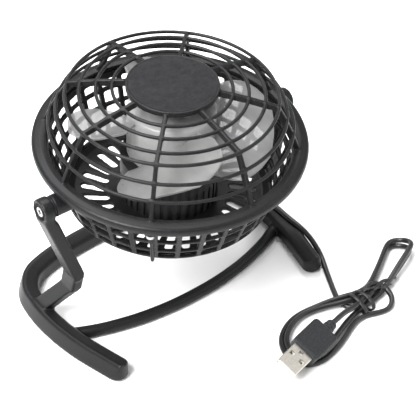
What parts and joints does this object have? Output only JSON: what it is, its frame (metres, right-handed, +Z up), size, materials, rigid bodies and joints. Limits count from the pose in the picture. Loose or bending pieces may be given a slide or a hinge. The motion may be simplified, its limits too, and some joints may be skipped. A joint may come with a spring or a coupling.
{
  "type": "desk fan",
  "caption": "Small desk fan: caged axial fan tilting between two bent arms on a low loop stand, with a tied USB lead.",
  "frame": {"origin": "on the floor, under the middle of the fan without its lead", "axes": "+Z up; +X along the tilt pivot, to the right seen from the front; -Y to the front, where the feet point"},
  "size_m": [0.2014, 0.1715, 0.1341],
  "materials": {
    "black_plastic": "fine satin grain",
    "frosted_plastic": "frosted, milky translucent",
    "rubber_black": "soft matte",
    "screw_steel": "bright zinc plate",
    "motor_steel": "satin rolled steel",
    "shaft_steel": "ground",
    "bronze": "sintered bronze",
    "copper": "enamelled copper",
    "ferrite": "sintered",
    "carbon": "pressed carbon",
    "cap_plastic": "natural nylon",
    "contact_gold": "gold flash",
    "plug_steel": "warm nickel plate",
    "tongue_plastic": "plain white",
    "cord_pvc": "semi-matt PVC"
  },
  "bodies": {
    "stand": {"left_rail": "black_plastic", "right_rail": "black_plastic", "rear_bar": "black_plastic", "front_bar": "black_plastic", "left_arm": "black_plastic", "right_arm": "black_plastic", "foot_pads": "rubber_black", "cord_gland": "rubber_black", "power_cord": "cord_pvc", "plug_strand": "cord_pvc", "hank_left_loop": "cord_pvc", "hank_right_loop": "cord_pvc", "hank_small_loop": "cord_pvc", "cord_tie": "cord_pvc", "plug_shell": "plug_steel", "plug_tongue": "tongue_plastic", "plug_contacts": "contact_gold", "plug_grip": "cord_pvc", "plug_relief": "cord_pvc"},
    "head": {"front_grille": "black_plastic", "centre_plate": "black_plastic", "rear_basket": "black_plastic", "motor_housing": "black_plastic", "motor_can": "motor_steel", "front_bush": "bronze", "rear_bush": "bronze", "motor_end_cap": "cap_plastic", "field_magnets": "ferrite", "brushes": "carbon", "motor_terminals": "bronze", "switch_body": "black_plastic", "grille_screws": "screw_steel", "housing_screws": "screw_steel", "pivot_screws": "screw_steel", "pivot_washers": "black_plastic", "motor_leads": "cord_pvc"},
    "rotor": {"impeller": "frosted_plastic", "motor_shaft": "shaft_steel", "armature_core": "motor_steel", "armature_windings": "copper", "commutator": "copper"},
    "rocker": {"switch_rocker": "black_plastic"}
  },
  "joints": [
    {"name": "head_tilt", "type": "hinge", "parent": "stand", "child": "head", "pos_m": [0, 0.00078, 0.0884], "axis": [1, 0, 0], "range_deg": [-95, 85]},
    {"name": "fan_spin", "type": "hinge", "parent": "head", "child": "rotor", "pos_m": [0, -0.0002, 0.10046], "axis": [0, -0.0811, 0.9967], "continuous": true},
    {"name": "switch_rock", "type": "hinge", "parent": "head", "child": "rocker", "pos_m": [0, 0.02167, 0.06351], "axis": [1, 0, 0], "range_deg": [0, 16]}
  ]
}
